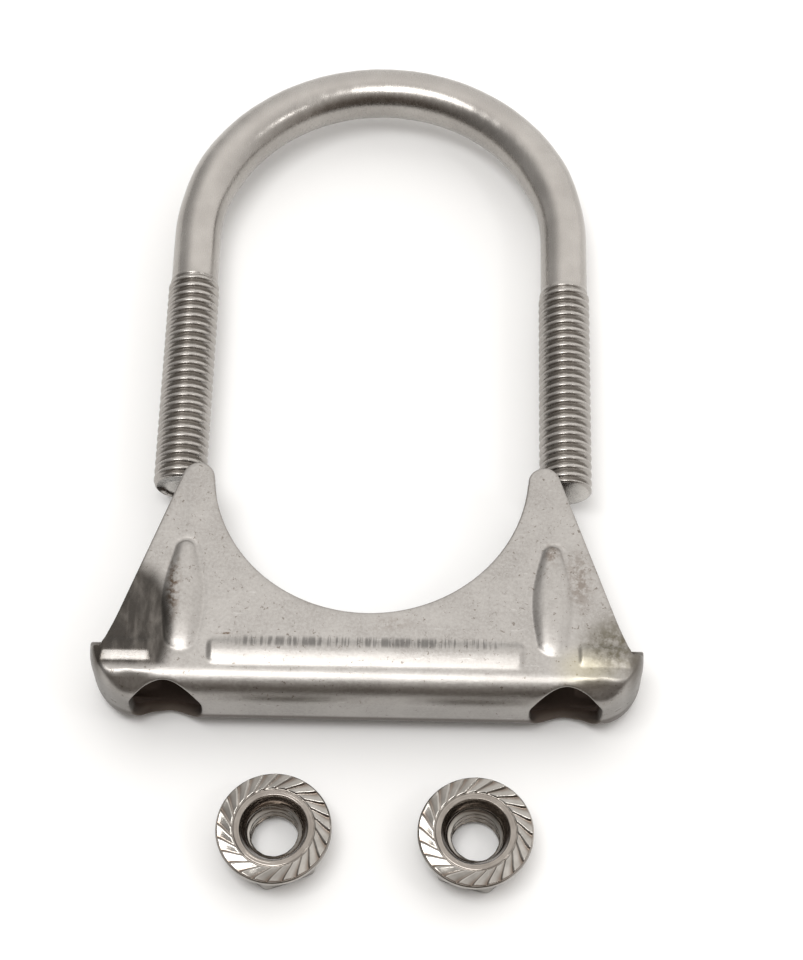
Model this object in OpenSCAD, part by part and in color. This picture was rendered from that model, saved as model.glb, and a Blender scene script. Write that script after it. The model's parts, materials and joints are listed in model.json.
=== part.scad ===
/* [Pipe and bar] */
// Radius of the pipe that the clamp closes on
seat_r = 23.5; // [23:0.1:24.2]
// Diameter of the bar that the U-bolt is bent from
bar_d = 7.9; // [7:0.1:8]
// Distance between the centre lines of the two legs
leg_gap = 58; // [57.6:0.1:59]

/* [U-bolt] */
// Length of each straight leg, from the bend to its tip
leg_len = 44.8; // [42:0.1:45]
// Length of the threaded stretch of each leg
thread_len = 35.8; // [30:0.1:36.2]
// Diameter of the plain shank between the bend and the thread
shank_d = 7.2; // [6.6:0.1:7.4]
// Diameter of the thread's crests
thread_d = 7.9; // [7:0.1:7.9]
// Length of the chamfer at each leg's tip
tip_len = 0.5; // [0.3:0.1:1]

/* [Saddle] */
// Width of the saddle from end to end
saddle_w = 79.6; // [79:0.1:84]
// Depth of the channel across its two flanges
channel_h = 12.6; // [12.4:0.1:14]
// Thickness of the sheet metal
sheet = 1.9; // [1.6:0.1:2]
// Distance from the pipe's centre to the web's outer face
web_drop = 36; // [35:0.1:38]
// Height of the flange tips above the pipe's centre
peak_rise = 1; // [0.5:0.1:1.5]
// Height of the pressed beads above the flanges
bead_h = 0.8; // [0.5:0.1:0.9]

/* [Nuts] */
// Distance across the flats of the hexagon
nut_af = 12.7; // [12:0.1:13]
// Diameter of the nut's flange
nut_flange_d = 16.4; // [16:0.1:17.4]
// Overall height of the nut
nut_h = 6.9; // [6:0.1:7.5]
// Radial clearance between the nut's bore and the thread
nut_clear = 0.05; // [0.03:0.01:0.1]

/* [Layout] */
// Distance from the pipe's centre in the saddle to the centre of the U-bolt's bend
bend_y = 44.7; // [44.7:0.1:60]
// Half the distance between the two loose nuts
nut_x = 14.2; // [10:0.1:20]
// How far the pair of loose nuts lies to the right of the middle
nut_shift = 1.8; // [0:0.1:4]
// Distance from the pipe's centre to the row of loose nuts
nut_y = 53.5; // [50:0.1:60]

/* [Hidden] */
$fn = 96;
LEFT = -1;
RIGHT = 1;
BOTH = [LEFT, RIGHT];
leg_x = leg_gap / 2;
bar_r = bar_d / 2;
// The leg, from its tip towards the bend
tip_y = bend_y - leg_len;
tip_r = thread_d / 2 - tip_len;
neck_len = 2;
// The channel lies on its lower beads, and so does everything else
table_z = -channel_h / 2 - bead_h;
corner_r = 7.5;
bend_out_r = 4;
end_x = saddle_w / 2;
end_wall_h = 9.8;
end_wall_y = end_wall_h - web_drop;
peak_x = 25.5;
peak_r = 2.2;
peak_y = peak_rise - peak_r;
// The flange's slanted edge widens by this much for each millimetre down, and touches the peak
flange_slope = 0.348;
slant_x = cos(atan(flange_slope));
slant_y = sin(atan(flange_slope));
flange_x = peak_x + peak_r / slant_x + flange_slope * peak_y;
hole_x = 28.7;
hole_w = 10.4;
hole_h = 11.5;
// The beads pressed outwards in each flange
side_bead_x = 26.7;
side_bead_y = -20.8;
side_bead_len = 17.6;
side_bead_w = 5.5;
low_bead_y = -29.6;
low_bead_w = 4.4;
long_bead_len = 45.2;
corner_bead_x = 33.8;
corner_bead_len = 6.8;
// The nut, from its hexagon up to its flange
nut_rim = 1.7;
nut_cone = 1.3;
nut_bore_r = thread_d / 2 + nut_clear;
sink_r = 4.9;
sink_h = 0.9;
// The countersink carries on above the flange so that it cuts cleanly
sink_slope = (sink_r - nut_bore_r) / sink_h;
nut_cone_r = 6.2;
hex_top_r = 5.9;
hex_slope = 0.55;
hex_turn = 30;
cut = 1;

// A plain bar along +Y from y to y + len
module bar(r1, r2, y, len)
    translate([0, y, 0]) rotate([-90, 0, 0]) cylinder(r1 = r1, r2 = r2, h = len);

// One leg: chamfer, thread at its crest diameter, shank and the neck up to the bend
module leg(side) translate([side * leg_x, 0, 0]) {
    thread_y = tip_y + tip_len;
    shank_y = thread_y + thread_len;
    bar(tip_r, thread_d / 2, tip_y, tip_len);
    bar(thread_d / 2, thread_d / 2, thread_y, thread_len);
    bar(shank_d / 2, shank_d / 2, shank_y, bend_y - neck_len - shank_y);
    bar(shank_d / 2, bar_r, bend_y - neck_len, neck_len);
}

// The bar bent through half a turn, with its two legs
module u_bolt() color("silver") {
    translate([0, bend_y, 0])
        rotate_extrude(angle = 180) translate([leg_x, 0]) circle(r = bar_r);
    for (side = BOTH) leg(side);
}

// A flat shape with round ends, len long and w wide, centred, along x
module stadium(len, w) {
    square([len - w, w], center = true);
    for (side = BOTH) translate([side * (len - w) / 2, 0]) circle(d = w);
}

// One pressed bead on both flanges: a shallow round ridge inside a stadium outline
module bead(x, y, len, w, turn = 0) {
    ridge_r = (w * w / 4 + bead_h * bead_h) / (2 * bead_h);
    for (face = BOTH) translate([x, y, 0]) rotate([0, 0, turn]) intersection() {
        translate([0, 0, face * channel_h / 2]) linear_extrude(2 * bead_h, center = true)
            stadium(len, w);
        translate([0, 0, face * (channel_h / 2 + bead_h - ridge_r)]) rotate([0, 90, 0])
            cylinder(r = ridge_r, h = len, center = true);
    }
}

// Half of the saddle's outline seen along the pipe, with a round peak and a round lower corner
module half_outline() {
    polygon([
        [0, -web_drop], [end_x - corner_r, -web_drop], [end_x, -web_drop + corner_r],
        [end_x, end_wall_y], [flange_x - flange_slope * end_wall_y, end_wall_y],
        [peak_x + peak_r * slant_x, peak_y + peak_r * slant_y], [peak_x, peak_y], [0, peak_y]
    ]);
    translate([end_x - corner_r, -web_drop + corner_r]) circle(r = corner_r);
    translate([peak_x, peak_y]) circle(r = peak_r);
}

// The blank that the channel is folded from, as a solid block with rounded folds
module channel_block() intersection() {
    linear_extrude(channel_h, center = true) for (side = [0, 1]) mirror([side, 0, 0]) half_outline();
    rotate([90, 0, 90]) linear_extrude(saddle_w + 2 * cut, center = true) {
        translate([-web_drop + bend_out_r, -channel_h / 2])
            square([web_drop + peak_rise + cut, channel_h]);
        translate([-web_drop, -channel_h / 2 + bend_out_r])
            square([bend_out_r + cut, channel_h - 2 * bend_out_r]);
        for (face = BOTH)
            translate([-web_drop + bend_out_r, face * (channel_h / 2 - bend_out_r)])
                circle(r = bend_out_r);
    }
}

// The space between the flanges, closed by the web and the two curled ends
module channel_space() {
    inner_r = corner_r - sheet;
    x = end_x - sheet;
    linear_extrude(channel_h - 2 * sheet, center = true) {
        translate([-x, -web_drop + corner_r]) square([2 * x, web_drop]);
        translate([-x + inner_r, -web_drop + sheet]) square([2 * x - 2 * inner_r, web_drop]);
        for (side = BOTH)
            translate([side * (x - inner_r), -web_drop + corner_r]) circle(r = inner_r);
    }
}

// The hole through the web for one leg, tall enough to cut into both folds
module leg_hole(side) translate([side * hole_x, -web_drop + bend_out_r, 0]) rotate([90, 90, 0])
    linear_extrude(2 * bend_out_r + 2 * cut, center = true) stadium(hole_h, hole_w);

// A pressed channel with a half-round seat for the pipe in both flanges
module saddle() color("gainsboro") difference() {
    union() {
        channel_block();
        bead(0, low_bead_y, long_bead_len, low_bead_w);
        for (side = BOTH) {
            bead(side * side_bead_x, side_bead_y, side_bead_len, side_bead_w, 90);
            bead(side * corner_bead_x, low_bead_y, corner_bead_len, low_bead_w);
        }
    }
    channel_space();
    cylinder(r = seat_r, h = channel_h + 4 * cut, center = true, $fn = 180);
    for (side = BOTH) leg_hole(side);
}

// The hexagon, chamfered where the loose nut rests on it
module nut_hexagon() {
    wide = nut_af;
    intersection() {
        rotate([0, 0, hex_turn]) cylinder(d = 2 * nut_af / sqrt(3), h = nut_h - nut_rim / 2, $fn = 6);
        rotate_extrude() polygon([
            [0, 0], [hex_top_r, 0], [wide, hex_slope * (wide - hex_top_r)], [wide, nut_h], [0, nut_h]
        ]);
    }
}

// A hexagon nut with a wide flange on top, lying on its hexagon
module flange_nut(side) translate([nut_shift + side * nut_x, -nut_y, table_z]) difference() {
    union() {
        nut_hexagon();
        rotate_extrude() polygon([
            [0, nut_h - nut_rim - nut_cone], [nut_cone_r, nut_h - nut_rim - nut_cone],
            [nut_flange_d / 2, nut_h - nut_rim], [nut_flange_d / 2, nut_h], [0, nut_h]
        ]);
    }
    translate([0, 0, -cut]) cylinder(r = nut_bore_r, h = nut_h + 2 * cut);
    translate([0, 0, nut_h - sink_h])
        cylinder(r1 = nut_bore_r, r2 = sink_r + sink_slope * cut, h = sink_h + cut);
}

module left_nut() color("lightgray") flange_nut(LEFT);

module right_nut() color("lightgray") flange_nut(RIGHT);

u_bolt();
saddle();
left_nut();
right_nut();
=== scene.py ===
"""An exhaust U-bolt clamp laid out in pieces: U-bolt, pressed saddle and two serrated flange nuts."""

import json
import math

import bpy
import numpy as np
from mathutils import Matrix, Vector
from mathutils.geometry import delaunay_2d_cdt


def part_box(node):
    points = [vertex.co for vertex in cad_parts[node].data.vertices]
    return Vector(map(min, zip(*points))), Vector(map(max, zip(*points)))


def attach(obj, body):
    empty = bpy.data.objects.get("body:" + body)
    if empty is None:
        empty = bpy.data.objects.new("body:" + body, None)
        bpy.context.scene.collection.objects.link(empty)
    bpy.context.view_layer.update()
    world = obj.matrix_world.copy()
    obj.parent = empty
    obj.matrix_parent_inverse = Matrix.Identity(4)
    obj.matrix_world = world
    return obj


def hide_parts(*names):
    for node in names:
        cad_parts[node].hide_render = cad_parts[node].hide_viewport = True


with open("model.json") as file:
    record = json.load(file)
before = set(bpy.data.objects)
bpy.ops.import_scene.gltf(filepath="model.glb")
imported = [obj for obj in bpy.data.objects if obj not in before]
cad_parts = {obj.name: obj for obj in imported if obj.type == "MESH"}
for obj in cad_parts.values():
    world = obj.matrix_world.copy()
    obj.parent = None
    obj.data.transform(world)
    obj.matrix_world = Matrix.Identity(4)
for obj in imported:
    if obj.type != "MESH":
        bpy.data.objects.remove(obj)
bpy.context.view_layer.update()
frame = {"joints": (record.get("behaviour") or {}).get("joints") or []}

MM = 0.001
TAU = 2 * math.pi

# ---------------------------------------------------------------- sizes, in millimetres

bolt_low, bolt_high = (np.array(corner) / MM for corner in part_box("u_bolt"))
saddle_low, saddle_high = (np.array(corner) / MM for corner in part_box("saddle"))
nut_boxes = {side: [np.array(corner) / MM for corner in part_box(node)]
             for side, node in (("left", "left_nut"), ("right", "right_nut"))}

BAR_R = 3.96
SHANK_R = 3.62
LEG_X = bolt_high[0] - (bolt_high[2] - bolt_low[2]) / 2
TIP_Y = bolt_low[1]
BEND_Y = bolt_high[1] - LEG_X - (bolt_high[2] - bolt_low[2]) / 2
LEG_LEN = BEND_Y - TIP_Y
PITCH = 25.4 / 18
CREST_R = 3.96
ROOT_R = 3.24
THREAD_TOP = {-1: 36.8, 1: 35.8}
TAPER_START = 5.9
TAPER_LEN = 8

SHEET = 1.9
WEB_Y = saddle_low[1]
BEAD_H = 0.8
FLANGE_Z = saddle_high[2] - BEAD_H
FOLD_R = 4
CORNER_R = 7.5
CORNER_PULL = 2.2
SEAM = FOLD_R * math.pi / 2 + FLANGE_Z - FOLD_R
END_X = saddle_high[0]
SEAT_R = 23.2
HOLE_X = 28.7
HOLE_HALF_W = 5.2
HOLE_HALF_H = 5.75
TAB_Y = WEB_Y + 9.4
PEAK = (25.55, -1.5)
PEAK_R = 2.35
SLANT = math.atan(0.348)
PEAK_SPREAD = 0.8
UPRIGHT_X = 26.65
UPRIGHT_TOP = -13.6
UPRIGHT_LOW = -27.35

TABLE_Z = saddle_low[2]


# ---------------------------------------------------------------- meshes

def new_object(name, points, faces, attributes=None):
    """A smooth-shaded object from points in millimetres, with one float attribute per name."""
    mesh = bpy.data.meshes.new(name)
    mesh.from_pydata((np.asarray(points) * MM).tolist(), [], faces)
    mesh.update()
    mesh.validate()
    for key, values in (attributes or {}).items():
        mesh.attributes.new(key, "FLOAT", "POINT").data.foreach_set("value", np.asarray(values, float))
    mesh.polygons.foreach_set("use_smooth", [True] * len(mesh.polygons))
    piece = bpy.data.objects.new(name, mesh)
    bpy.context.scene.collection.objects.link(piece)
    return piece


def grid_faces(rows, columns, close_rows=False):
    """Quads between neighbouring rings of points, each ring closed on itself."""
    last = rows if close_rows else rows - 1
    row, column = np.meshgrid(np.arange(last), np.arange(columns), indexing="ij")
    above, beside = (row + 1) % rows, (column + 1) % columns
    quads = np.stack([row * columns + column, row * columns + beside,
                      above * columns + beside, above * columns + column], -1)
    return quads.reshape(-1, 4).tolist()


def smoothstep(value):
    """0 below 0, 1 above 1, and smooth between."""
    value = np.clip(value, 0, 1)
    return value * value * (3 - 2 * value)


# ---------------------------------------------------------------- the thread, shared by bolt and nuts

def thread_phase(dx, y, dz):
    """Turns of a right-hand thread at a point beside a leg's axis; whole numbers lie on the crest."""
    return (y - TIP_Y) / PITCH - np.arctan2(dx, dz) / TAU


def thread_height(phase):
    """0 at the thread's root and 1 at its crest, rounded like a rolled thread that has seen use."""
    off_crest = 2 * np.abs((phase + 0.5) % 1 - 0.5)
    return 1 - np.clip((off_crest - 0.16) / 0.78, 0, 1) ** 1.8


def leg_radius(side, y, dx, dz):
    """The bar's radius beside a leg's axis and how deep the point lies in the thread, 0 to 1."""
    up = y - TIP_Y
    top = THREAD_TOP[side]
    height = thread_height(thread_phase(dx, y, dz))
    thread = ROOT_R + (CREST_R - ROOT_R) * height
    fade = smoothstep((top - up) / (1.3 * PITCH))
    radius = SHANK_R + fade * (thread - SHANK_R)
    cut_end = CREST_R - 0.05 - 0.9 * np.clip(0.5 - up, 0, 1) ** 2 / 0.5
    radius = np.minimum(radius * smoothstep(up / 0.9) + cut_end * (1 - smoothstep(up / 0.9)), cut_end + up)
    return radius, fade * (1 - height) * smoothstep(up / 0.9)


# ---------------------------------------------------------------- the U-bolt

def bolt_stations():
    """Places along the bar from the left tip to the right tip: (side, distance above the tip)
    on the legs, and (0, angle round the bend) on the bend."""
    threaded = np.arange(0.1, max(THREAD_TOP.values()) + 0.4, PITCH / 14)
    leg = np.concatenate([[0.0, 0.04], threaded,
                          np.arange(threaded[-1] + 0.5, LEG_LEN, 1.0)])
    bend = np.linspace(0, math.pi, 132)
    return [(-1, up) for up in leg] + [(0, angle) for angle in bend] + [(1, up) for up in leg[::-1]]


def bolt_ring(station, around):
    """One ring of points round the bar and how deep each lies in the thread."""
    side, place = station
    if side:
        centre = np.array([side * LEG_X, TIP_Y + place, 0.0])
        across = np.array([-side, 0.0, 0.0])
    else:
        centre = np.array([-LEG_X * math.cos(place), BEND_Y + LEG_X * math.sin(place), 0.0])
        across = np.array([math.cos(place), -math.sin(place), 0.0])
    direction = np.cos(around)[:, None] * np.array([0, 0, 1.0]) + np.sin(around)[:, None] * across
    if side:
        radius, depth = leg_radius(side, np.full_like(around, centre[1]), direction[:, 0], direction[:, 2])
    else:
        into_bend = LEG_X * min(place, math.pi - place)
        grow = smoothstep((into_bend - TAPER_START) / TAPER_LEN)
        ripple = 0.012 * math.sin(LEG_X * place * 0.9) + 0.01 * math.sin(LEG_X * place * 2.3 + 1)
        radius = np.full_like(around, SHANK_R + (BAR_R - SHANK_R - 0.02) * grow + grow * ripple)
        radius += 0.02 * grow * np.cos(2 * around)
        depth = np.zeros_like(around)
    return centre + radius[:, None] * direction, depth


def make_u_bolt():
    """The bent bar with a rolled thread on both legs, closed by flat ends."""
    columns = 72
    around = np.linspace(0, TAU, columns, endpoint=False)
    rings = [bolt_ring(station, around) for station in bolt_stations()]
    points = np.concatenate([ring[0] for ring in rings])
    depth = np.concatenate([ring[1] for ring in rings])
    faces = grid_faces(len(rings), columns)
    for first in (0, (len(rings) - 1) * columns):
        rim = points[first:first + columns]
        inner = rim.mean(0) + (rim - rim.mean(0)) * 0.5
        start = len(points)
        points = np.concatenate([points, inner, rim.mean(0)[None]])
        depth = np.append(depth, np.zeros(columns + 1))
        for k in range(columns):
            after = (k + 1) % columns
            faces.append([first + k, first + after, start + after, start + k])
            faces.append([start + k, start + after, start + columns])
    cut_end = np.zeros(len(points))
    cut_end[len(rings) * columns:] = 1
    cut_end[:columns] = cut_end[(len(rings) - 1) * columns:len(rings) * columns] = 0.6
    return new_object("u_bolt_bar", points, faces, {"thread_depth": depth, "cut_end": cut_end})


# ---------------------------------------------------------------- the saddle

def fold_base(flat):
    """For points of the flat pattern: the nearest point of the fold's upper edge, the outward
    direction there, and the distance beyond it, negative inside the flat flange."""
    x, y = np.abs(flat[:, 0]), flat[:, 1]
    corner_x, corner_y = END_X - CORNER_R, WEB_Y + CORNER_R
    inner_r = CORNER_R - FOLD_R
    dx, dy = x - corner_x, y - corner_y
    radius = np.maximum(np.hypot(dx, dy), 1e-9)
    bottom, end = x <= corner_x, y >= corner_y
    out = np.stack([dx / radius, dy / radius], -1)
    out[bottom] = (0, -1)
    out[end & ~bottom] = (1, 0)
    beyond = np.where(bottom, corner_y - inner_r - y, np.where(end, dx - inner_r, radius - inner_r))
    out[:, 0] *= np.where(flat[:, 0] < 0, -1, 1)
    return out, beyond


def corner_share(flat):
    """1 at the closed corners, where the press pulls the fold tight, and 0 along the web."""
    return smoothstep((np.abs(flat[:, 0]) - 33.2) / 4)


def fold(flat):
    """Wraps the flat pattern of the upper half over the fold: points and normals of its outer face."""
    out, beyond = fold_base(flat)
    radius = FOLD_R - CORNER_PULL * corner_share(flat)
    flat_len = FOLD_R - radius
    whole = flat_len + radius * math.pi / 2 + FLANGE_Z - radius
    along = np.maximum(beyond, 0) * whole / SEAM
    angle = np.clip((along - flat_len) / radius, 0, math.pi / 2)
    wall = np.maximum(along - flat_len - radius * math.pi / 2, 0)
    onto = np.minimum(along, flat_len) + radius * np.sin(angle)
    reach = np.where(beyond > 0, onto - beyond, 0)
    plan = flat + out * reach[:, None]
    z = FLANGE_Z - radius * (1 - np.cos(angle)) - wall
    normal = np.column_stack([out * np.sin(angle)[:, None], np.cos(angle)])
    return np.column_stack([plan, z]), normal


def flat_of_web(x, z):
    """The flat-pattern point that folds to (x, z) on the web, its folds or its rounded corners."""
    corner_x, corner_y = END_X - CORNER_R, WEB_Y + CORNER_R
    inner_r = CORNER_R - FOLD_R
    straight = FLANGE_Z - FOLD_R
    angle = np.where(z > straight, np.arccos(np.clip((z - straight) / FOLD_R, -1, 1)), math.pi / 2)
    beyond = np.where(z > straight, FOLD_R * angle, SEAM - z)
    turn = np.arcsin(np.clip((x - corner_x) / (inner_r + FOLD_R * np.sin(angle)), 0, 1))
    reach = inner_r + beyond
    return np.stack([np.where(x > corner_x, corner_x + reach * np.sin(turn), x),
                     corner_y - reach * np.where(x > corner_x, np.cos(turn), 1)], -1)


def arc(centre, radius, start, end, step=0.3):
    """Points on an arc from one angle to another, in degrees."""
    count = max(2, int(abs(math.radians(end - start)) * radius / step) + 1)
    angle = np.radians(np.linspace(start, end, count))
    return np.stack([centre[0] + radius * np.cos(angle), centre[1] + radius * np.sin(angle)], -1)


def line(start, end, step=0.35):
    """Evenly spaced points on a straight line."""
    count = max(2, int(math.dist(start, end) / step) + 1)
    return np.linspace(start, end, count)


def hole_edge():
    """The leg hole's upper half: straight sides, a round top that cuts into the fold."""
    rise = HOLE_HALF_H - HOLE_HALF_W
    angle = np.radians(np.linspace(180, 0, 48))
    x = np.concatenate([[HOLE_X - HOLE_HALF_W], HOLE_X + HOLE_HALF_W * np.cos(angle), [HOLE_X + HOLE_HALF_W]])
    z = np.concatenate([[0], rise + HOLE_HALF_W * np.sin(angle), [0]])
    return flat_of_web(x, z)


def rounded(corners, radius):
    """A polyline through corners, with its inner corners rounded."""
    points = [np.array(corners[0], float)]
    for before, corner, after in zip(corners, corners[1:], corners[2:]):
        before, corner, after = (np.array(p, float) for p in (before, corner, after))
        into = (before - corner) / np.linalg.norm(before - corner)
        onto = (after - corner) / np.linalg.norm(after - corner)
        cut = min(radius, 0.45 * np.linalg.norm(before - corner), 0.45 * np.linalg.norm(after - corner))
        for t in np.linspace(0, 1, 6):
            points.append((1 - t) ** 2 * (corner + cut * into) + 2 * t * (1 - t) * corner
                          + t ** 2 * (corner + cut * onto))
    points.append(np.array(corners[-1], float))
    return np.array(points)


def resample(points, step):
    """The same polyline with evenly spaced points."""
    reach = np.concatenate([[0], np.cumsum(np.linalg.norm(np.diff(points, axis=0), axis=1))])
    count = max(2, int(round(reach[-1] / step)) + 1)
    at = np.linspace(0, reach[-1], count)
    return np.stack([np.interp(at, reach, points[:, k]) for k in (0, 1)], -1)


def saddle_outline():
    """The right half of the upper flat pattern's outline, from the seam's middle, past the leg hole
    and the curled end, over the peak to the seat's lowest point. Also which points are sheet edge."""
    reach = CORNER_R - FOLD_R + SEAM
    corner = (END_X - CORNER_R, WEB_Y + CORNER_R)
    hole = resample(hole_edge(), 0.3)
    seam_y = hole[0][1]
    hole_end = math.degrees(math.atan2(hole[-1][1] - corner[1], hole[-1][0] - corner[0]))
    seam_x = corner[0] + reach
    tangent = np.array([math.cos(SLANT), math.sin(SLANT)])
    slant_top = np.array(PEAK) + PEAK_R * tangent
    down = np.array([math.sin(SLANT), -math.cos(SLANT)])
    slit = slant_top + down * 29.6 + np.array([0.35, 0])
    flange_end = slant_top + down * 26.6
    edge = rounded([(seam_x, TAB_Y), (42.8, TAB_Y), (41.1, TAB_Y - 0.8), (40.35, TAB_Y - 2.0),
                    (slit[0] + 0.35, slit[1] - 0.2), (slit[0] - 0.1, slit[1] - 0.35),
                    tuple(flange_end), tuple(slant_top)], 0.9)
    seat_start = math.degrees(math.asin((PEAK[1] - 0.3) / SEAT_R))
    peak_end = (SEAT_R * math.cos(math.radians(seat_start)), SEAT_R * math.sin(math.radians(seat_start)))
    last = math.degrees(math.atan2(peak_end[1] - PEAK[1], peak_end[0] - PEAK[0])) % 360
    over_peak = arc(PEAK, PEAK_R, math.degrees(SLANT), last, 0.25)
    seat = arc((0, 0), SEAT_R, seat_start, -90, 0.3)
    runs = [
        (line((0, seam_y), (hole[0][0], seam_y), 0.45), False),
        (hole, True),
        (arc(corner, reach, hole_end, 0, 0.45), False),
        (line((seam_x, corner[1]), (seam_x, TAB_Y), 0.4), False),
        (resample(edge, 0.3), True),
        (over_peak, True),
        (seat, True),
    ]
    points, is_edge = [], []
    for run, on_edge in runs:
        if points:
            is_edge[-1] = is_edge[-1] or on_edge
            run = run[1:]
        points += list(run)
        is_edge += [on_edge] * len(run)
    return np.array(points), np.array(is_edge)


def inside(points, polygon):
    """Which points lie inside a closed polygon."""
    result = np.zeros(len(points), bool)
    x, y = points[:, 0], points[:, 1]
    for (ax, ay), (bx, by) in zip(polygon, np.roll(polygon, -1, axis=0)):
        if ay == by:
            continue
        crosses = (y < ay) != (y < by)
        result ^= crosses & (x < ax + (y - ay) * (bx - ax) / (by - ay))
    return result


def distance_to(points, segments):
    """Distance from each point to the nearest of some segments, given as (start, end) pairs."""
    nearest = np.full(len(points), np.inf)
    for start, end in segments:
        run = end - start
        t = np.clip(((points - start) @ run) / max(run @ run, 1e-12), 0, 1)
        nearest = np.minimum(nearest, np.linalg.norm(points - start - t[:, None] * run, axis=1))
    return nearest


def slot_depth(x, y, left, right, centre_y, half, corner):
    """Depth inside a lying rounded rectangle; negative outside."""
    dx = np.maximum(np.maximum(left + corner - x, x - right + corner), 0)
    dy = np.maximum(np.abs(y - centre_y) - half + corner, 0)
    return corner - np.hypot(dx, dy)


def dome(depth, half, foot=0.25):
    """The cross-section of a pressed ridge: a round crown that meets the sheet in a small hollow."""
    across = np.clip(depth / half, 0, 1)
    groove = 0.1 * np.exp(-((depth + 0.2) / 0.3) ** 2)
    return (1 - (1 - across) ** 3.0) * smoothstep(depth / foot + 0.5) - groove


def leaning(y, top, length, crest):
    """The long section of a lying bead: a short rise to its crest, then a slope down to the fold."""
    down = (top - y) / length
    return smoothstep(down / 0.3) * (1 - np.clip((down - crest) / (1 - crest), 0, 1) ** 1.4)


def bead_height(flat):
    """How far the flange stands up: three kinds of pressed bead and a faint ridge up each peak."""
    x, y = np.abs(flat[:, 0]), flat[:, 1]
    at_y = np.clip(y, UPRIGHT_LOW, UPRIGHT_TOP)
    share = (UPRIGHT_TOP - at_y) / (UPRIGHT_TOP - UPRIGHT_LOW)
    half = 1.5 + 0.75 * share + 0.95 * np.sin(math.pi * share)
    upright = dome(half - np.hypot(x - UPRIGHT_X, y - at_y), half)
    above, below = np.clip((y + 22) / 9.5, 0, 1), np.clip((-22 - y) / 7.6, 0, 1)
    upright = upright * (1 - 0.15 * above ** 2 - 0.75 * below ** 2)
    long_slot = smoothstep(slot_depth(x, y, -30, 22.8, -29.6, 2.5, 1.6) / 0.8)
    long_bead = 0.62 * leaning(y, -27.4, 4.4, 0.42) * long_slot
    corner_slot = smoothstep(slot_depth(x, y, 30.2, 38.0, -29.7, 2.6, 0.8) / 0.6)
    corner_bead = 0.45 * leaning(y, -27.5, 3.7, 0.55) * corner_slot
    lying = np.maximum(long_bead, corner_bead)
    raised = BEAD_H * np.where(upright > 0, np.maximum(upright, lying), upright + lying)
    peak_ridge = np.exp(-((x - 26.1) / 1.0) ** 2) * smoothstep((y + 14) / 5)
    return raised + 0.1 * peak_ridge


def corner_crease(flat):
    """At the closed corners the flange runs on to a tight crease, and the fold falls away below it."""
    _, beyond = fold_base(flat)
    pull = CORNER_PULL * corner_share(flat)
    edge = 0.16 * np.exp(-((beyond - 0.9 - 0.8 * pull) / 0.55) ** 2)
    hollow = 0.26 * np.exp(-((beyond - 2.9 - 0.5 * pull) / 1.2) ** 2)
    return smoothstep((np.abs(flat[:, 0]) - 29) / 3) * (edge - hollow)


def near_bead(flat):
    """Which points lie on or close beside a bead."""
    x, y = np.abs(flat[:, 0]), flat[:, 1]
    upright = (np.abs(x - UPRIGHT_X) < 3.3) & (y < -11.5) & (y > -30)
    low = (np.abs(y + 29.9) < 2.9) & ((x < 23.2) | ((x > 29.2) & (x < 39)))
    return upright | low


def saddle_grid(polygon, edge_segments, seam_segments):
    """Points inside the flat pattern, closer together on the beads."""
    low, high = polygon.min(0), polygon.max(0)
    fine, coarse = 0.3, 0.6
    sets = []
    for step in (fine, coarse):
        rows = np.arange(low[1], high[1], step * math.sqrt(3) / 2)
        columns = np.arange(0, high[0], step)
        x, y = np.meshgrid(columns, rows)
        x = x + (np.arange(len(rows)) % 2 * step / 2)[:, None]
        points = np.stack([x.ravel(), y.ravel()], -1)
        beads = near_bead(points)
        points = points[beads if step == fine else ~beads]
        mirrored = points[points[:, 0] > 0.05] * (-1, 1)
        sets.append(np.concatenate([points, mirrored]))
    points = np.concatenate(sets)
    points = points[inside(points, polygon)]
    points = points[distance_to(points, edge_segments) > 0.5]
    return points[distance_to(points, seam_segments) > 0.25]


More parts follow.
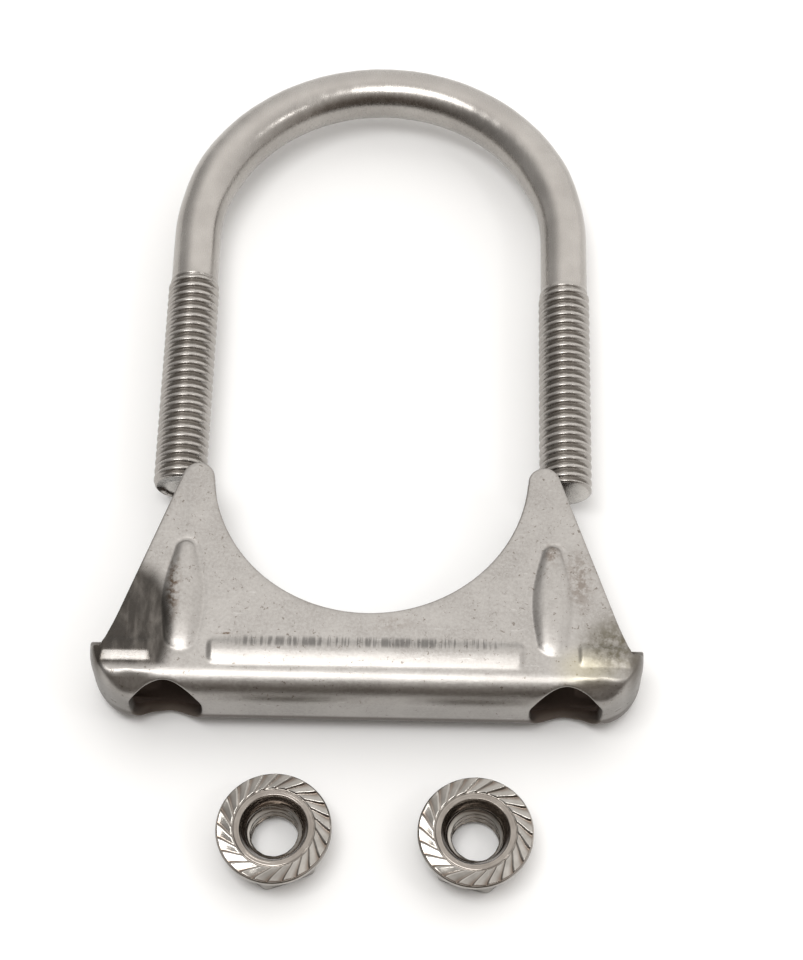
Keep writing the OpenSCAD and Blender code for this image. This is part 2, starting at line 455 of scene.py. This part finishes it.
def make_saddle():
    """The pressed channel: one triangulated flat pattern, folded, thickened and mirrored."""
    half, half_edge = saddle_outline()
    mirrored = half[1:-1][::-1] * (-1, 1)
    polygon = np.concatenate([half, mirrored])
    is_edge = np.concatenate([half_edge, half_edge[1:-1][::-1]])
    after = np.roll(np.arange(len(polygon)), -1)
    # a boundary segment is sheet edge unless it runs along the seam between the two halves
    _, beyond = fold_base(polygon)
    on_seam = beyond > SEAM - 1e-6
    seg_seam = on_seam & on_seam[after]
    seg_edge = ~seg_seam
    edge_segments = [(polygon[i], polygon[after[i]]) for i in np.flatnonzero(seg_edge)]
    seam_segments = [(polygon[i], polygon[after[i]]) for i in np.flatnonzero(seg_seam)]

    before = np.roll(np.arange(len(polygon)), 1)
    run = np.zeros_like(polygon)
    run[seg_edge] += (polygon[after] - polygon)[seg_edge]
    run[seg_edge[before]] += (polygon - polygon[before])[seg_edge[before]]
    inward = np.stack([-run[:, 1], run[:, 0]], -1) / np.maximum(np.linalg.norm(run, axis=1), 1e-9)[:, None]
    probe = polygon + 0.02 * inward
    edge_points = seg_edge | seg_edge[before]
    flip = np.mean(inside(probe[edge_points], polygon)) < 0.5
    inward *= -1 if flip else 1
    rings = [polygon[edge_points] + d * inward[edge_points] for d in (0.05, 0.13, 0.27)]
    ring_points = np.concatenate(rings)
    keep = inside(ring_points, polygon) | (fold_base(ring_points)[1] > SEAM - 1e-6)
    ring_points = ring_points[keep]

    flat = np.concatenate([polygon, ring_points, saddle_grid(polygon, edge_segments, seam_segments)])
    loops = [(int(i), int(after[i])) for i in range(len(polygon))]
    out = delaunay_2d_cdt([Vector(p) for p in flat.tolist()], loops, [], 0, 1e-6)
    flat = np.array([tuple(v) for v in out[0]])
    faces = np.array([f for f in out[2] if len(f) == 3])
    centres = flat[faces].mean(1)
    faces = faces[inside(centres, polygon)]
    used = np.unique(faces)
    remap = np.full(len(flat), -1)
    remap[used] = np.arange(len(used))
    flat, faces = flat[used], remap[faces]

    # boundary of the triangulation, split into the seam and the sheet's cut edge
    sides = np.concatenate([faces[:, [0, 1]], faces[:, [1, 2]], faces[:, [2, 0]]])
    keys = {}
    for a, b in sides.tolist():
        keys.setdefault((min(a, b), max(a, b)), []).append((a, b))
    rim = [pairs[0] for pairs in keys.values() if len(pairs) == 1]
    _, beyond = fold_base(flat)
    seam_vertex = beyond > SEAM - 1e-6
    cut = [(a, b) for a, b in rim if not (seam_vertex[a] and seam_vertex[b])]

    base, normal = fold(flat)
    base[seam_vertex, 2] = 0
    base = base + normal * (bead_height(flat) + corner_crease(flat))[:, None]
    to_edge = distance_to(flat, edge_segments)

    def round_over(radius):
        inset = np.clip(radius - to_edge, 0, radius)
        return radius - np.sqrt(radius ** 2 - inset ** 2)

    outer = base - normal * round_over(0.26)[:, None]
    inner = base - normal * (SHEET - round_over(0.22))[:, None]
    middle = base - normal * (SHEET / 2)
    total = len(flat)
    upper = np.concatenate([outer, inner, middle])
    lower = upper * (1, 1, -1)
    spread = smoothstep((lower[:, 1] + 16) / 12) * smoothstep(-lower[:, 2] / 2)
    lower[:, 0] += np.sign(lower[:, 0]) * PEAK_SPREAD * spread
    shared = np.tile(seam_vertex, 3)
    points = np.concatenate([upper, lower])
    twin = np.where(shared, np.arange(3 * total), np.arange(3 * total) + 3 * total)

    def both(face_list):
        flipped = [[int(twin[i]) for i in reversed(face)] for face in face_list]
        return face_list + flipped

    skin = faces.tolist()
    skin += [[i + total for i in reversed(face)] for face in faces.tolist()]
    for a, b in cut:
        skin.append([b, a, a + 2 * total, b + 2 * total])
        skin.append([b + 2 * total, a + 2 * total, a + total, b + total])
    all_faces = both(skin)
    used = np.unique(np.concatenate([np.array(f) for f in all_faces]))
    remap = np.full(len(points), -1)
    remap[used] = np.arange(len(used))
    all_faces = [[int(remap[i]) for i in f] for f in all_faces]
    edge_wear = np.tile(np.exp(-to_edge / 0.5), 6)[used]
    inner_face = np.tile(np.repeat([0.0, 1.0, 0.5], total), 2)[used]
    return new_object("saddle_channel", points[used], all_faces,
                      {"edge_wear": edge_wear, "inner_face": inner_face})


# ---------------------------------------------------------------- the nuts

NUT_H = nut_boxes["left"][1][2] - nut_boxes["left"][0][2]
NUT_R = (nut_boxes["left"][1][0] - nut_boxes["left"][0][0]) / 2
NUT_FLAT = 6.35
TEETH = 24
TOOTH_H = 0.42
TOOTH_IN = 0.71 * NUT_R
RING_Z = NUT_H - 0.34
SINK_R = 0.59 * NUT_R
BORE_CREST_R = 3.36
THREAD_GAP = 0.05


def nut_turn(side):
    """The hinge that carries a nut from the table to its leg, as a 4 by 4 matrix in millimetres."""
    joints = {joint["name"]: joint for joint in frame["joints"]}
    hinge = joints[side + "_nut_fitting"]
    pole = Vector(hinge["pos_m"]) / MM
    turn = Matrix.Rotation(math.radians(hinge["range_deg"][1]), 4, Vector(hinge["axis"]))
    slide = Matrix.Translation((0, joints["saddle_slide"]["range_m"][1] / MM, 0))
    return np.array(slide @ Matrix.Translation(pole) @ turn @ Matrix.Translation(-pole))


def hexagon_radius(angle, corner_angle):
    """Distance from the axis to a hexagon with slightly rounded corners."""
    off_flat = (angle - corner_angle) % (TAU / 6) - TAU / 12
    sharp = NUT_FLAT / np.cos(off_flat)
    return np.minimum(sharp, 7.15 + 0.35 * (sharp - 7.15).clip(0))


def tooth_shape(angle, radius):
    """Ratchet teeth that sweep clockwise towards the rim: 0 in the valley, 1 at the crest."""
    u = np.clip((radius - TOOTH_IN) / (NUT_R - TOOTH_IN), 0, 1)
    sweep = math.radians(-19) * (1 - (1 - u) ** 1.7)
    phase = (-TEETH * (angle - sweep) / TAU) % 1
    rise = np.clip(phase / 0.86, 0, 1)
    fall = np.clip((1 - phase) / 0.14, 0, 1)
    return np.minimum(rise, smoothstep(fall))


def make_nut(side, corner_angle):
    """A serrated flange nut as one closed grid: bottom, hexagon, flange, teeth, countersink, thread."""
    low, high = nut_boxes[side]
    centre = np.array([(low[0] + high[0]) / 2, (low[1] + high[1]) / 2, low[2]])
    columns = TEETH * 14
    angle = np.linspace(0, TAU, columns, endpoint=False)
    hexagon = hexagon_radius(angle, corner_angle)
    flat = np.ones_like(angle)
    rows, marks = [], []

    def row(radius, height, mark=0.0):
        rows.append((radius * flat, height * flat))
        marks.append(mark * flat)

    # the face that the loose nut lies on, with its chamfered corners
    for radius, height in ((4.25, 0.0), (4.4, 0.0), (5.2, 0.0), (5.85, 0.0), (5.95, 0.02)):
        row(radius, height)
    for share in (0.35, 0.7, 0.92, 1.0):
        radius = 5.95 + share * (hexagon - 5.95)
        row(radius, 0.02 + 0.5 * (radius - 5.95) + 0.08 * max(0, share - 0.9))
    # the hexagon's sides run up into the flange's cone, which is marked with painted shade under the flange
    for height in np.concatenate([np.linspace(1.0, 3.6, 5), np.linspace(3.8, 5.35, 12)]):
        cone = 6.0 + (NUT_R - 0.25 - 6.0) * np.clip((height - 3.9) / 1.4, 0, 1) ** 0.9
        sharp = 12.0
        blend = np.log(np.exp(sharp * (hexagon - 7)) + np.exp(sharp * (cone - 7))) / sharp + 7
        row(blend, height, 0.75 * smoothstep((height - 2.5) / 1.2) * smoothstep((5.5 - height) / 0.3))
    # the rim
    for radius, height in ((NUT_R - 0.12, 5.47), (NUT_R - 0.03, 5.6), (NUT_R, 5.75), (NUT_R, 6.05),
                           (NUT_R - 0.03, 6.2), (NUT_R - 0.1, 6.3), (NUT_R - 0.2, 6.33)):
        row(radius, height)
    # the teeth, with painted shade in their valleys and on the rim's wall
    low_z = NUT_H - TOOTH_H
    for radius in np.concatenate([[NUT_R - 0.2, NUT_R - 0.22, NUT_R - 0.25, NUT_R - 0.3],
                                  np.linspace(NUT_R - 0.45, TOOTH_IN + 0.2, 13),
                                  [TOOTH_IN + 0.1, TOOTH_IN + 0.03]]):
        teeth = tooth_shape(angle, radius * flat)
        at_rim = smoothstep((NUT_R - 0.19 - radius) / 0.07)
        inwards = 1 - 0.35 * (NUT_R - radius) / (NUT_R - TOOTH_IN)
        at_ring = smoothstep((radius - TOOTH_IN) / 0.12)
        height = low_z + TOOTH_H * teeth * at_rim * inwards
        shade = (0.7 + 0.3 * smoothstep((radius - TOOTH_IN) / (NUT_R - TOOTH_IN))) * (1 - teeth) ** 1.4
        shade = np.maximum(shade, smoothstep((radius - NUT_R + 0.27) / 0.03))
        row(radius, height * at_ring + (1 - at_ring) * (RING_Z - 0.08), shade)
    # the plain ring with one turned groove, marked a darker tone, and the countersink, marked with painted
    # shade
    for inset, drop in ((0.05, 0.12), (0.12, 0.06), (0.2, 0.01), (0.3, 0.0)):
        row(TOOTH_IN - inset, RING_Z - drop, 0.6)
    for outset, drop in ((0.42, 0.0), (0.38, 0.012), (0.34, 0.0), (0.1, 0.0), (0.04, 0.02)):
        row(SINK_R + outset, RING_Z - drop, 0.6)
    for inset, drop in ((0.0, 0.07), (0.05, 0.14), (0.13, 0.32), (0.3, 0.75), (0.55, 1.2), (0.75, 1.5)):
        row(SINK_R - inset, RING_Z - drop, 0.8 if inset > 0.05 else 0.5)
    # the internal thread, cut to match the leg's thread where the fitted nut stands, and marked darker deeper
    # in its grooves
    turn = nut_turn(side)
    sign = -1 if side == "left" else 1
    for height in np.arange(RING_Z - 1.55, 0.3, -PITCH / 14):
        beside = np.stack([np.cos(angle), np.sin(angle), 0 * angle], -1) * 3.9
        local = beside + centre + (0, 0, height)
        fitted = local @ turn[:3, :3].T + turn[:3, 3]
        phase = thread_phase(fitted[:, 0] - sign * LEG_X, fitted[:, 1], fitted[:, 2])
        raised = thread_height(phase)
        radius = np.maximum(ROOT_R + (CREST_R - ROOT_R) * raised + THREAD_GAP, BORE_CREST_R)
        opening = np.maximum(smoothstep((height - RING_Z + 2.2) / 0.6), smoothstep((1.0 - height) / 0.8))
        radius = radius + (4.1 - radius) * opening * 0.9
        row(radius, height, 0.0)
        marks[-1] = 0.1 + 0.55 * np.clip((radius - BORE_CREST_R) / 0.65, 0, 1) ** 1.6
    for radius, height in ((4.12, 0.2), (4.2, 0.06)):
        row(radius, height, 0.3)

    radius = np.array([r for r, _ in rows])
    height = np.array([h for _, h in rows])
    points = np.stack([radius * np.cos(angle), radius * np.sin(angle), height], -1).reshape(-1, 3) + centre
    faces = grid_faces(len(rows), columns, close_rows=True)
    return new_object(side + "_flange_nut", points, faces, {"shade_and_tone": np.concatenate(marks)})


# ---------------------------------------------------------------- materials

class Nodes:
    """A short way to write a material's node tree."""

    def __init__(self, name):
        self.material = bpy.data.materials.new(name)
        self.material.use_nodes = True
        self.tree = self.material.node_tree
        self.shader = self.tree.nodes["Principled BSDF"]

    def add(self, kind, inputs=None, **settings):
        node = self.tree.nodes.new(kind)
        for key, value in settings.items():
            setattr(node, key, value)
        for key, value in (inputs or {}).items():
            self.put(node.inputs[key], value)
        return node

    def put(self, socket, value):
        if isinstance(value, bpy.types.NodeSocket):
            self.tree.links.new(value, socket)
        else:
            socket.default_value = value

    def place(self, scale=(1, 1, 1)):
        """Coordinates of the shared frame in millimetres, scaled."""
        coordinates = self.add("ShaderNodeTexCoord").outputs["Object"]
        factor = [s / MM for s in scale]
        return self.add("ShaderNodeMapping", {"Vector": coordinates, "Scale": factor}).outputs[0]

    def noise(self, scale, detail=4, rough=0.6, stretch=(1, 1, 1), distortion=0.0):
        return self.add("ShaderNodeTexNoise", {"Vector": self.place(stretch), "Scale": scale,
                                               "Detail": detail, "Roughness": rough,
                                               "Distortion": distortion}).outputs[0]

    def ramp(self, value, low, high, to_low=0.0, to_high=1.0):
        """Maps a value from one range to another, clamped and smooth."""
        return self.add("ShaderNodeMapRange", {"Value": value, "From Min": low, "From Max": high,
                                               "To Min": to_low, "To Max": to_high},
                        interpolation_type="SMOOTHSTEP").outputs[0]

    def math(self, operation, first, second=0.0):
        node = self.add("ShaderNodeMath", operation=operation)
        self.put(node.inputs[0], first)
        self.put(node.inputs[1], second)
        return node.outputs[0]

    def mix(self, share, first, second):
        node = self.add("ShaderNodeMix", data_type="RGBA")
        self.put(node.inputs[0], share)
        self.put(node.inputs[6], first)
        self.put(node.inputs[7], second)
        return node.outputs[2]

    def attribute(self, name):
        return self.add("ShaderNodeAttribute", attribute_name=name).outputs["Fac"]

    def spot(self, centre, radius, softness, stretch=(1, 1, 1)):
        """1 inside a soft ball about a place in the shared frame, in millimetres."""
        kind = "ShaderNodeVectorMath"
        offset = self.add(kind, {0: self.place(), 1: centre}, operation="SUBTRACT").outputs[0]
        scaled = self.add(kind, {0: offset, 1: stretch}, operation="MULTIPLY").outputs[0]
        length = self.add(kind, {0: scaled}, operation="LENGTH").outputs["Value"]
        return self.ramp(length, radius - softness, radius + softness, 1.0, 0.0)

    def bump(self, height, strength, distance, normal=None):
        inputs = {"Height": height, "Strength": strength, "Distance": distance * MM}
        if normal is not None:
            inputs["Normal"] = normal
        return self.add("ShaderNodeBump", inputs).outputs[0]

    def finish(self, color, roughness, normal, metallic=1.0):
        self.put(self.shader.inputs["Base Color"], color)
        self.put(self.shader.inputs["Roughness"], roughness)
        self.put(self.shader.inputs["Normal"], normal)
        self.shader.inputs["Metallic"].default_value = metallic
        return self.material


def bar_steel():
    """Satin drawn bar: fine lines along the bar, brown in the thread's roots."""
    n = Nodes("bar_steel")
    depth = n.attribute("thread_depth")
    lines = n.noise(1.6, 5, 0.7, (1, 0.16, 1))
    speckle = n.noise(5.0, 3, 0.6)
    patches = n.noise(0.12, 3, 0.55)
    clean = n.mix(n.ramp(patches, 0.35, 0.7), (0.355, 0.335, 0.314, 1), (0.415, 0.394, 0.37, 1))
    marked = n.mix(n.ramp(speckle, 0.62, 0.8, 0, 0.35), clean, (0.18, 0.155, 0.13, 1))
    color = n.mix(n.ramp(depth, 0.55, 1.0, 0, 0.5), marked, (0.09, 0.07, 0.05, 1))
    color = n.mix(n.attribute("cut_end"), color, (0.60, 0.58, 0.55, 1))
    rough = n.math("ADD", n.ramp(lines, 0.3, 0.75, 0.22, 0.32), n.ramp(depth, 0.3, 1, 0, 0.15))
    normal = n.bump(lines, 0.3, 0.03)
    normal = n.bump(speckle, 0.2, 0.015, normal)
    return n.finish(color, rough, normal)


def band(n, axis, low, high, soft):
    """1 where one coordinate of the shared frame lies between two values, in millimetres."""
    split = n.add("ShaderNodeSeparateXYZ", {0: n.place()})
    value = split.outputs[axis]
    above = n.ramp(value, low - soft, low + soft)
    below = n.ramp(value, high - soft, high + soft, 1, 0)
    return n.math("MULTIPLY", above, below)


def sheet_marks(n, base):
    """Marks that lie at places of the upper flange: scrapes, stains and the burnished left corner."""
    upper = band(n, "Z", 4.5, 8, 0.3)
    streak = n.noise(2.6, 2, 0.5, (1, 0.03, 0.1))
    groups = n.noise(0.35, 2, 0.5, (1, 0.02, 0.1))
    streak = n.math("ADD", streak, n.math("MULTIPLY", groups, 0.6))
    strip = n.math("MULTIPLY", band(n, "Y", -28.85, -27.2, 0.35), band(n, "X", -19, 20, 2.5))
    strip = n.math("MULTIPLY", n.math("MULTIPLY", strip, upper), n.ramp(streak, 0.74, 0.9, 0, 0.62))
    base = n.mix(strip, base, (0.09, 0.085, 0.08, 1))
    patchy = n.noise(0.9, 4, 0.65)
    # each stain's centre, radius, softness, stretch and strength
    spots = [((-28.1, -20.0, 6.6), 1.0, 0.7, (1.1, 0.22, 0.5), 1.0),
             ((26.6, -13.6, 6.5), 0.9, 0.6, (0.9, 0.5, 0.5), 0.7),
             ((30.6, -17.5, 6.3), 1.3, 1.2, (0.8, 0.35, 0.5), 0.6),
             ((3.5, -24.9, 6.3), 0.9, 0.8, (0.35, 1, 0.5), 0.35),
             ((-20.3, -26.85, 6.3), 0.35, 0.25, (0.28, 2.2, 0.5), 1.1)]
    for centre, radius, soft, stretch, strength in spots:
        patches = n.ramp(patchy, 0.4, 0.62, 0, strength)
        stain = n.math("MULTIPLY", n.spot(centre, radius, soft, stretch), patches)
        base = n.mix(stain, base, (0.12, 0.085, 0.06, 1))
    tint = n.math("MULTIPLY", n.spot((31.4, -31.2, 6.0), 2.6, 2.2, (0.8, 1.1, 1)), 0.3)
    base = n.mix(tint, base, (0.60, 0.54, 0.31, 1))
    smudge = n.spot((35.6, -28.0, 6.3), 3.4, 2.2, (0.8, 0.8, 1))
    smudge = n.math("MULTIPLY", smudge, n.ramp(patchy, 0.3, 0.65, 0.35, 0.9))
    base = n.mix(smudge, base, (0.10, 0.088, 0.06, 1))
    polished = n.math("MULTIPLY", n.spot((-33.9, -26.4, 6.3), 6.1, 1.2, (1.0, 0.58, 0.7)), upper)
    polished = n.math("MULTIPLY", polished, band(n, "Y", -32.0, 0, 0.6))
    slope = n.math("MULTIPLY", band(n, "Y", -31.3, -29.9, 0.25), band(n, "X", -37.6, -31.2, 0.5))
    polished = n.math("MULTIPLY", polished, n.ramp(slope, 0, 1, 1, 0.55))
    brushed = n.noise(0.5, 3, 0.5, (1, 0.35, 1), 0.3)
    burnished = n.mix(n.ramp(brushed, 0.45, 0.8), (0.03, 0.026, 0.022, 1), (0.13, 0.118, 0.105, 1))
    return n.mix(n.math("MULTIPLY", polished, 0.93), base, burnished), polished


def sheet_steel():
    """Tumbled sheet: matt with specks, scratches, dark stains and a polished corner, with painted shade on
    the lower fold, the closed ends, the lower corners and the inner faces.
    """
    n = Nodes("sheet_steel")
    grain = n.noise(2.2, 6, 0.75)
    fine = n.noise(7.0, 3, 0.6)
    cloud = n.noise(0.16, 4, 0.6)
    specks = n.noise(1.5, 4, 0.7, (1, 1, 1), 0.4)
    scratch = n.noise(1.1, 4, 0.6, (0.22, 1.9, 1), 0.6)
    base = n.mix(n.ramp(cloud, 0.3, 0.72), (0.30, 0.283, 0.266, 1), (0.37, 0.352, 0.333, 1))
    base = n.mix(n.ramp(grain, 0.35, 0.7, 0.0, 0.6), base, (0.45, 0.433, 0.413, 1))
    base = n.mix(n.ramp(specks, 0.61, 0.68, 0, 0.7), base, (0.11, 0.085, 0.065, 1))
    base = n.mix(n.ramp(scratch, 0.64, 0.76, 0, 0.45), base, (0.66, 0.65, 0.63, 1))
    base, polished = sheet_marks(n, base)
    base = n.mix(n.ramp(n.attribute("edge_wear"), 0.4, 1.0, 0, 0.4), base, (0.16, 0.145, 0.13, 1))
    # painted shade: the lower fold is painted dark brown below a set height, standing in for the shadow under
    # the channel
    base = n.mix(n.math("MULTIPLY", band(n, "Z", -9, -1.9, 0.5), 0.88), base, (0.07, 0.052, 0.04, 1))
    # painted shade: both closed ends beyond the corner folds are painted darker than the steel
    ends = n.math("ADD", band(n, "X", -60, -37.6, 0.9), band(n, "X", 37.6, 60, 0.9))
    base = n.mix(n.math("MULTIPLY", ends, 0.7), base, (0.10, 0.088, 0.075, 1))
    # painted shade: a dark patch low on each rounded corner, stronger on the left
    for side, strength in ((-1, 0.6), (1, 0.4)):
        corner = n.math("MULTIPLY", n.spot((side * 36.5, -35.0, 0.0), 4.2, 2.2), strength)
        base = n.mix(corner, base, (0.11, 0.10, 0.088, 1))
    # painted shade: the sheet's inner faces, seen through the leg holes, are painted dark brown for the
    # shadow inside the channel; they are also made rougher
    inner = n.attribute("inner_face")
    base = n.mix(n.ramp(inner, 0.5, 1.0, 0, 0.9), base, (0.07, 0.05, 0.04, 1))
    rough = n.ramp(grain, 0.3, 0.8, 0.33, 0.43)
    rough = n.math("SUBTRACT", rough, n.math("MULTIPLY", polished, 0.12))
    rough = n.math("ADD", rough, n.math("MULTIPLY", inner, 0.3))
    normal = n.bump(grain, 0.5, 0.03)
    normal = n.bump(fine, 0.35, 0.015, normal)
    normal = n.bump(scratch, 0.3, 0.02, normal)
    return n.finish(base, rough, normal)


def nut_steel():
    """Bright plated nut with fine turning marks, painted shade in its teeth valleys, under its flange and in
    its countersink, darker deeper in its thread, and a darker plain ring.
    """
    n = Nodes("nut_steel")
    shade_and_tone = n.attribute("shade_and_tone")
    grain = n.noise(3.5, 4, 0.65)
    cloud = n.noise(0.5, 3, 0.5)
    clean = n.mix(n.ramp(cloud, 0.3, 0.7), (0.31, 0.293, 0.27, 1), (0.39, 0.37, 0.343, 1))
    # the marks paint shade into the teeth valleys, under the flange and in the countersink, darken the bore's
    # grooves, and give the plain ring a darker tone
    color = n.mix(n.ramp(shade_and_tone, 0.25, 1.0, 0, 0.8), clean, (0.12, 0.082, 0.058, 1))
    rough = n.ramp(grain, 0.3, 0.75, 0.09, 0.17)
    normal = n.bump(grain, 0.2, 0.012)
    return n.finish(color, rough, normal)


def table_white():
    """Matt white table top."""
    n = Nodes("table_white")
    rough = n.ramp(n.noise(0.4), 0.3, 0.7, 0.5, 0.6)
    normal = n.bump(n.noise(0.8), 0.1, 0.02)
    return n.finish((0.96, 0.96, 0.955, 1), rough, normal, 0.0)


# ---------------------------------------------------------------- pieces

def dress(piece, material, body, node):
    """Gives a piece its material and body, and puts it in a CAD node's place."""
    piece.data.materials.append(material)
    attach(piece, body)
    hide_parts(node)


dress(make_u_bolt(), bar_steel(), "u_bolt", "u_bolt")
dress(make_saddle(), sheet_steel(), "saddle", "saddle")
nut_material = nut_steel()
dress(make_nut("left", math.radians(-98.6)), nut_material, "left_nut", "left_nut")
dress(make_nut("right", math.radians(-75)), nut_material, "right_nut", "right_nut")


# ---------------------------------------------------------------- stage, light and camera

def make_floor():
    """The white table that the pieces lie on."""
    size = 1500
    corners = [(-size, -size), (size, -size), (size, size), (-size, size)]
    floor = new_object("floor", [(x, y, TABLE_Z) for x, y in corners], [[0, 1, 2, 3]])
    floor.data.materials.append(table_white())


def area_light(name, place, size, radiance, target=(0, 10, 0), color=(1, 1, 1)):
    """A rectangular lamp aimed at the object, as bright as it looks in a mirror."""
    light = bpy.data.lights.new(name, "AREA")
    light.shape = "RECTANGLE"
    light.size, light.size_y = size[0] * MM, size[1] * MM
    light.energy = math.pi * light.size * light.size_y * radiance
    light.color = color
    lamp = bpy.data.objects.new(name, light)
    lamp.location = Vector(place) * MM
    lamp.rotation_euler = (Vector(target) * MM - lamp.location).to_track_quat("-Z", "Y").to_euler()
    bpy.context.scene.collection.objects.link(lamp)
    return lamp


def make_world():
    """A studio room: bright behind the object, grey overhead, brown and dim low on the camera's side."""
    world = bpy.data.worlds.new("studio")
    world.use_nodes = True
    tree = world.node_tree
    background = tree.nodes["Background"]
    coordinates = tree.nodes.new("ShaderNodeTexCoord")
    split = tree.nodes.new("ShaderNodeSeparateXYZ")
    tree.links.new(coordinates.outputs["Generated"], split.inputs[0])
    spread = tree.nodes.new("ShaderNodeMapRange")
    spread.inputs["From Min"].default_value = -1
    tree.links.new(split.outputs["Y"], spread.inputs["Value"])
    ramp = tree.nodes.new("ShaderNodeValToRGB")
    tree.links.new(spread.outputs[0], ramp.inputs[0])
    stops = [(0.0, (0.10, 0.08, 0.065)), (0.07, (0.13, 0.105, 0.085)), (0.13, (0.27, 0.235, 0.21)),
             (0.19, (0.53, 0.50, 0.47)), (0.45, (0.90, 0.88, 0.86)), (0.70, (1.50, 1.47, 1.44)),
             (1.0, (1.25, 1.24, 1.22))]
    elements = ramp.color_ramp.elements
    for k, (place, color) in enumerate(stops):
        element = elements[k] if k < 2 else elements.new(place)
        element.position = place
        element.color = (*color, 1)
    sides = tree.nodes.new("ShaderNodeMapRange")
    sides.interpolation_type = "SMOOTHSTEP"
    for socket, value in (("From Min", -0.75), ("From Max", -0.1), ("To Min", 0.42), ("To Max", 1.0)):
        sides.inputs[socket].default_value = value
    tree.links.new(split.outputs["X"], sides.inputs["Value"])
    tree.links.new(sides.outputs[0], background.inputs["Strength"])
    tree.links.new(ramp.outputs[0], background.inputs["Color"])
    bpy.context.scene.world = world


def make_camera():
    """The photograph's view: from the web's side, about 62 degrees above the table."""
    focal_px, image_h = 2470.5, 960
    distance, target = 371.85, (4.33, 1.80, 0.0)
    elevation, yaw, roll = (math.radians(a) for a in (61.88, -2.04, -0.823))
    level = math.cos(elevation)
    forward = Vector((math.sin(yaw) * level, math.cos(yaw) * level, -math.sin(elevation)))
    right = forward.cross(Vector((0, 0, 1))).normalized()
    up = right.cross(forward)
    right, up = (math.cos(roll) * right + math.sin(roll) * up, math.cos(roll) * up - math.sin(roll) * right)
    data = bpy.data.cameras.new("camera")
    data.sensor_fit = "AUTO"
    data.sensor_width = 36
    data.lens = focal_px / image_h * data.sensor_width
    data.clip_start, data.clip_end = 0.01, 10
    camera = bpy.data.objects.new("camera", data)
    place = Vector(target) - forward * distance
    basis = Matrix((right, up, -forward)).transposed().to_4x4()
    camera.matrix_world = Matrix.Translation(place * MM) @ basis
    bpy.context.scene.collection.objects.link(camera)
    bpy.context.scene.camera = camera


make_floor()
make_world()
area_light("overhead_softbox", (-120, -138, 880), (480, 262), 7.5)
area_light("right_lamp", (420, -140, 560), (90, 90), 10.0)
make_camera()
bpy.context.scene.view_settings.view_transform = "Standard"
